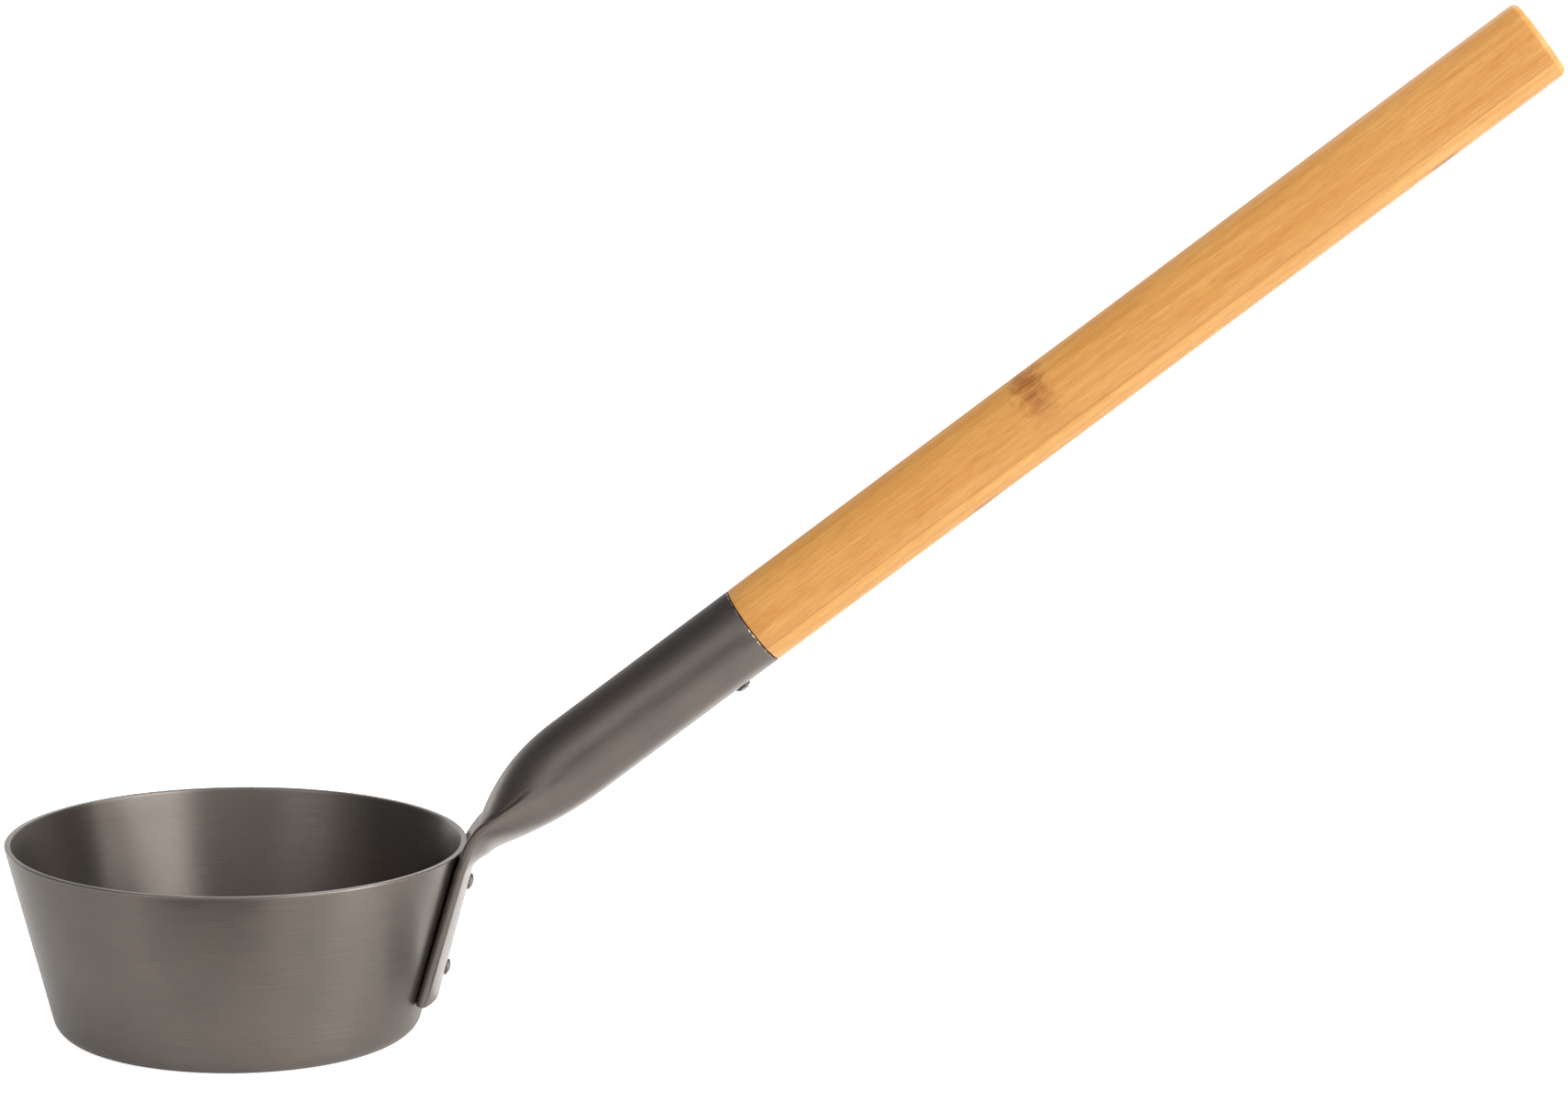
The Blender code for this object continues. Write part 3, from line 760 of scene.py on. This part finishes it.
seatOnHandle = handlePlace.inverted() @ handleSeat
stripHoles = [(seatOnHandle, handle["bore"], handle["boreStart"], -handle["boreDepth"])]
for number, ply in enumerate(plies):
    rows = [[(x, y, h) for x, y in plySection(number, r)] for r, h in handleProfile()]
    wood = laminatedBamboo(f"bambooLaminatedLacquered{number + 1}", bambooLook, ply)
    strip = meshPiece(f"handleStrip{number + 1}", rows, wood, capped=True)
    drill(strip, stripHoles)
    strip.matrix_world = handlePlace
    keep(strip, "bamboo", f"handle_ply_{number + 1}")
print("handle done")


# blind rivets: a domed head outside, a spread body behind, and the broken stem in the middle
rivets = {
    "head": 2.5 * mm,
    "headHeight": 1.4 * mm,
    "headEdge": 0.4 * mm,
    "shank": 1.5 * mm,
    "bore": 0.8 * mm,
    "boreLip": 0.45 * mm,        # how far the bore runs straight below the head's top
    "tailLip": 0.15 * mm,
    "bulbWave": 0.25,            # swell and waist of the spread body
    "bulbTaper": 0.2 * mm,
    "bulbStart": 0.15,
    "stem": 0.7 * mm,
    "stemRecess": 0.35 * mm,
    "stemBreak": [(0, 0.1 * mm), (0.6, 0.06 * mm), (1, -0.05 * mm)],  # share of radius, height
    "stemGap": 0.2 * mm,
    "stemHead": 1.2 * mm,
    "stemHeadLength": 1.4 * mm,
    "stemHeadSide": 0.6,         # share of its length that is straight
    "stemTip": [(0.8, 0.15 * mm), (0.5, 0), (0, 0)],
    "segments": 48,
    "headSteps": (10, 5),        # dome, edge
    "bulbPoints": 8,
}


def rivetRows(grip, bulbRadius, bulbLength):
    head, edge, bore, shank = (rivets[k] for k in ("head", "headEdge", "bore", "shank"))
    domeSteps, edgeSteps = rivets["headSteps"]
    rise = rivets["headHeight"] - edge
    domeRadius = (head ** 2 + rise ** 2) / (2 * rise)
    middle = (0, rivets["headHeight"] - domeRadius)
    dome = roundOff(middle, domeRadius, math.acos(bore / domeRadius), math.acos(head / domeRadius),
                    domeSteps)
    rolled = roundOff((head - edge / 2, edge / 2), edge / 2, math.pi / 3, -quarterTurn, edgeSteps)
    tail = -grip - bulbLength
    wave = rivets["bulbWave"] * (bulbRadius - shank)
    bulb = [(bulbRadius + wave * math.sin(2 * math.pi * s) - rivets["bulbTaper"] * s * s,
             -grip - bulbLength * s)
            for s in np.linspace(rivets["bulbStart"], 1, rivets["bulbPoints"])]
    body = [(bore, rivets["headHeight"] - rivets["boreLip"])] + dome[:-1] + rolled
    body += [(shank, 0), (shank, -grip)] + bulb + [(bore, tail - rivets["tailLip"])]
    return turnedRows(body, rivets["segments"])


def stemRows(grip, bulbLength):
    stem, head, length = rivets["stem"], rivets["stemHead"], rivets["stemHeadLength"]
    top = rivets["headHeight"] - rivets["stemRecess"]
    end = -grip - bulbLength - rivets["stemGap"]
    body = [(stem * share, top + height) for share, height in rivets["stemBreak"]]
    body += [(stem, end), (head, end), (head, end - rivets["stemHeadSide"] * length)]
    body += [(head * share, end - length + height) for share, height in rivets["stemTip"]]
    return turnedRows(body, rivets["segments"] // 2)


rivetAluminium = fastenerMetal("aluminiumUpsetDull", rivetLook["headColour"], rivetLook)
stemSteel = fastenerMetal("steelDrawnZinced", rivetLook["stemColour"], rivetLook)
bowlGrip = 2 * foldRadius + ladle["seatGap"] + ladle["wall"]
seats = {
    # seat, thickness gripped, and radius and length of the spread body
    "bowl_rivet_upper": (upperSeat, bowlGrip, 2.2 * mm, 3.4 * mm),
    "bowl_rivet_lower": (lowerSeat, bowlGrip, 2.2 * mm, 3.4 * mm),
    "handle_rivet": (handleSeat, ladle["tubeWall"], 1.8 * mm, 6.5 * mm),
}
for node, (seat, grip, bulbRadius, bulbLength) in seats.items():
    words = node.split("_")
    title = words[0] + "".join(w.capitalize() for w in words[1:])
    body = rivetRows(grip, bulbRadius, bulbLength)
    rivet = meshPiece(title, body, rivetAluminium, closed=True, place=seat)
    stem = meshPiece(title + "Stem", stemRows(grip, bulbLength), stemSteel, place=seat)
    keep(rivet, "rivet_aluminium", node)
    keep(stem, "stem_steel", node + "_stem")
print("rivets done")


# floor and light: a white table in a pale room that is darker overhead
studio = {
    "floorSize": 40.0,
    "floorDrop": 0.2 * mm,       # keeps it clear of the bowl's base
    "tableEdge": 0.36,           # how far the floor reaches towards the camera
    "floorColour": "#f2f1ef",
    "floorGlow": 0.88,           # lifts the floor to white for the eye
    "floorMirror": 0.33,         # and less so in reflections
    # painted shade: dark cards that only the metal mirrors, standing in for shade on the table in
    # front of the bowl and beside the tab
    "paintedShadeColour": "#1c1b1a",     # dark cards that only the metal mirrors: middle and size
    "cardHeight": 0.5 * mm,
    "darkCards": [((-0.02, -0.21), (0.14, 0.17)), ((0.095, -0.006), (0.025, 0.04))],
    "sheetGrid": 8,
    "roomFront": "#f2f2f2",      # screens before and behind the table
    "roomBack": "#f0f0f0",
    "roomLeft": "#707072",
    "roomRight": "#707070",
    "roomHigh": "#6a6a6e",
    "frontEnds": {"roomLeft": 0.08, "roomRight": 0.04},  # shares of the way from front to back
    "sideSpan": (0.34, 0.66),
    "backStarts": 0.94,
    "sideBlend": 0.4,            # how softly left turns into right
    "highSpan": (0.58, 0.86),    # the screens give way to the dark overhead
    "backLower": 0.5,            # the screen behind ends lower than the one in front
    "edgeBlend": 0.06,
    "roomUnder": 0.15,           # brightness below the table's edge
    "roomStrength": (0.5, 1.2),  # as light, and as metal sees it
    "softboxes": [
        # place, aim, width and height, power, and whether it gives light, a mirrored shape, or both
        ((1.53, -0.85, 1.00), (0.06, 0, 0.06), (1.85, 1.15), 36, "both"),
        ((1.25, -0.55, 0.12), (0.06, 0, 0.06), (0.35, 0.25), 4, "mirrored"),
        ((-0.95, -1.50, 0.45), (0.05, 0, 0.06), (0.9, 0.8), 2.2, "both"),
        ((1.80, 0.50, 0.60), (0.20, 0, 0.15), (0.8, 0.8), 6, "light"),
        ((0.20, -1.25, 0.14), (0.15, 0, 0.12), (1.2, 0.24), 1.2, "light"),
        ((0.20, -0.20, 1.80), (0.15, 0, 0.10), (1.4, 1.4), 20, "light"),
        ((0.10, 2.20, 1.50), (0.10, 0, 0.10), (1.2, 1.2), 10, "both"),
        ((-1.50, 1.90, 0.30), (0.10, 0, 0.07), (0.8, 0.5), 3.6, "mirrored"),
        # small white cards lying behind the socket and beside the tab
        ((0.15, 0.17, 0.004), (0.15, 0.17, 1), (0.15, 0.24), 0.14, "mirrored"),
        ((0.083, 0.03, 0.004), (0.083, 0.03, 1), (0.036, 0.04), 0.0065, "mirrored"),
    ],
}


def layFlat(name, place, size, material):
    bm = bmesh.new()
    grid = studio["sheetGrid"]
    bmesh.ops.create_grid(bm, x_segments=grid, y_segments=grid, size=0.5)
    bmesh.ops.scale(bm, verts=bm.verts, vec=(*size, 1))
    mesh = bpy.data.meshes.new(name)
    bm.to_mesh(mesh)
    bm.free()
    mesh.materials.append(material)
    sheet = bpy.data.objects.new(name, mesh)
    sheet.location = place
    bpy.context.scene.collection.objects.link(sheet)
    return sheet


def inMirrors(tree, rays):
    # 1 for what metal and clear things show, 0 for all else
    kinds = [rays.outputs["Is Glossy Ray"], rays.outputs["Is Transmission Ray"]]
    return addNode(tree, "ShaderNodeMath", kinds, operation="MAXIMUM").outputs[0]


def makeFloor():
    # painted board, matt: an even white that keeps the ladle's soft shadow
    material, tree = newMaterial("floorPaintedMatt")
    rays = addNode(tree, "ShaderNodeLightPath")
    mirror = addNode(tree, "ShaderNodeMath", [inMirrors(tree, rays), studio["floorMirror"]],
                     operation="MULTIPLY")
    direct = addNode(tree, "ShaderNodeMath", [rays.outputs["Is Camera Ray"], studio["floorGlow"]],
                     operation="MULTIPLY")
    glow = addNode(tree, "ShaderNodeMath", [mirror.outputs[0], direct.outputs[0]],
                   operation="MAXIMUM")
    paint = addNode(tree, "ShaderNodeBsdfDiffuse", {"Color": linear(studio["floorColour"])})
    lift = addNode(tree, "ShaderNodeEmission", {"Strength": glow.outputs[0]})
    both = addNode(tree, "ShaderNodeAddShader", [paint.outputs[0], lift.outputs[0]])
    addNode(tree, "ShaderNodeOutputMaterial", [both.outputs[0]])
    size = studio["floorSize"]
    place = (0, size / 2 - studio["tableEdge"], -studio["floorDrop"])
    layFlat("floor", place, (size, size), material)


def makePaintedShadeCards():
    # card, matt, of painted shade: a dark shape in the metal, for shade on the table, and nothing
    # to the eye
    material, tree = newMaterial("cardPaintedShadeMatt")
    paint = addNode(tree, "ShaderNodeBsdfDiffuse", {"Color": linear(studio["paintedShadeColour"])})
    addNode(tree, "ShaderNodeOutputMaterial", [paint.outputs[0]])
    for i, (place, size) in enumerate(studio["darkCards"]):
        card = layFlat(f"darkCard{i + 1}", (*place, studio["cardHeight"]), size, material)
        card.visible_camera = card.visible_diffuse = card.visible_shadow = False


def makeRoom():
    world = bpy.data.worlds.new("room")
    world.use_nodes = True
    tree = world.node_tree
    tree.nodes.clear()
    rays = addNode(tree, "ShaderNodeLightPath")
    way = addNode(tree, "ShaderNodeTexCoord").outputs["Generated"]
    way = addNode(tree, "ShaderNodeSeparateXYZ", [way])
    depth = addNode(tree, "ShaderNodeMapRange", [way.outputs["Y"], -1, 1])
    sideStart, sideEnd = studio["sideSpan"]
    sides = []
    for side, frontEnds in studio["frontEnds"].items():
        shades = [(frontEnds, studio["roomFront"]), (sideStart, studio[side]),
                  (sideEnd, studio[side]), (studio["backStarts"], studio["roomBack"])]
        ramp = addNode(tree, "ShaderNodeValToRGB", [depth.outputs[0]], shades)
        sides.append(ramp.outputs[0])
    turn = addNode(tree, "ShaderNodeMapRange", [
        way.outputs["X"], -studio["sideBlend"], studio["sideBlend"]])
    low = addNode(tree, "ShaderNodeMix", {0: turn.outputs[0], 6: sides[0], 7: sides[1]},
                  data_type="RGBA")
    lift = addNode(tree, "ShaderNodeMath", [
        way.outputs["Y"], studio["backLower"], way.outputs["Z"]], operation="MULTIPLY_ADD")
    fade = addNode(tree, "ShaderNodeMapRange", [lift.outputs[0], *studio["highSpan"]])
    wall = addNode(tree, "ShaderNodeMix", {
        0: fade.outputs[0], 6: low.outputs[2], 7: linear(studio["roomHigh"])}, data_type="RGBA")
    under = addNode(tree, "ShaderNodeMapRange", [
        way.outputs["Z"], -studio["edgeBlend"], studio["edgeBlend"], studio["roomUnder"], 1.0])
    strength = addNode(tree, "ShaderNodeMapRange", [
        inMirrors(tree, rays), 0, 1, *studio["roomStrength"]])
    strength = addNode(tree, "ShaderNodeMath", [strength.outputs[0], under.outputs[0]],
                       operation="MULTIPLY")
    lit = addNode(tree, "ShaderNodeBackground", [wall.outputs[2], strength.outputs[0]])
    white = addNode(tree, "ShaderNodeBackground", [linear("#ffffff"), 1.0])
    both = addNode(tree, "ShaderNodeMixShader", [
        rays.outputs["Is Camera Ray"], lit.outputs[0], white.outputs[0]])
    addNode(tree, "ShaderNodeOutputWorld", [both.outputs[0]])
    bpy.context.scene.world = world


def makeLights():
    for i, (place, aim, size, power, gives) in enumerate(studio["softboxes"]):
        lamp = bpy.data.lights.new(f"softbox{i + 1}", "AREA")
        lamp.shape = "RECTANGLE"
        lamp.size, lamp.size_y = size
        lamp.energy = power
        thing = bpy.data.objects.new(lamp.name, lamp)
        thing.visible_camera = False
        thing.visible_glossy = gives != "light"
        thing.visible_diffuse = gives != "mirrored"
        thing.matrix_world = looking(Vector(place), Vector(place) - Vector(aim))
        bpy.context.scene.collection.objects.link(thing)


makeFloor()
makePaintedShadeCards()
makeRoom()
makeLights()
print("studio done")


# camera: a long lens, a little above the rim and rolled by half a degree
view = {
    "place": (0.16490, -1.58534, 0.45228),
    "right": (0.99993833, 0.00475121, 0.01003824),
    "up": (-0.01075752, 0.18976362, 0.98177087),
    "lens": 127.17,
    "sensor": 36,
    "farthest": 100,
}
lens = bpy.data.cameras.new("camera")
lens.sensor_width = view["sensor"]
lens.lens = view["lens"]
lens.clip_end = view["farthest"]
camera = bpy.data.objects.new("camera", lens)
right, up = Vector(view["right"]), Vector(view["up"])
turned = Matrix((right, up, right.cross(up))).transposed().to_4x4()
camera.matrix_world = Matrix.Translation(view["place"]) @ turned
bpy.context.scene.collection.objects.link(camera)
bpy.context.scene.camera = camera
print("camera done")
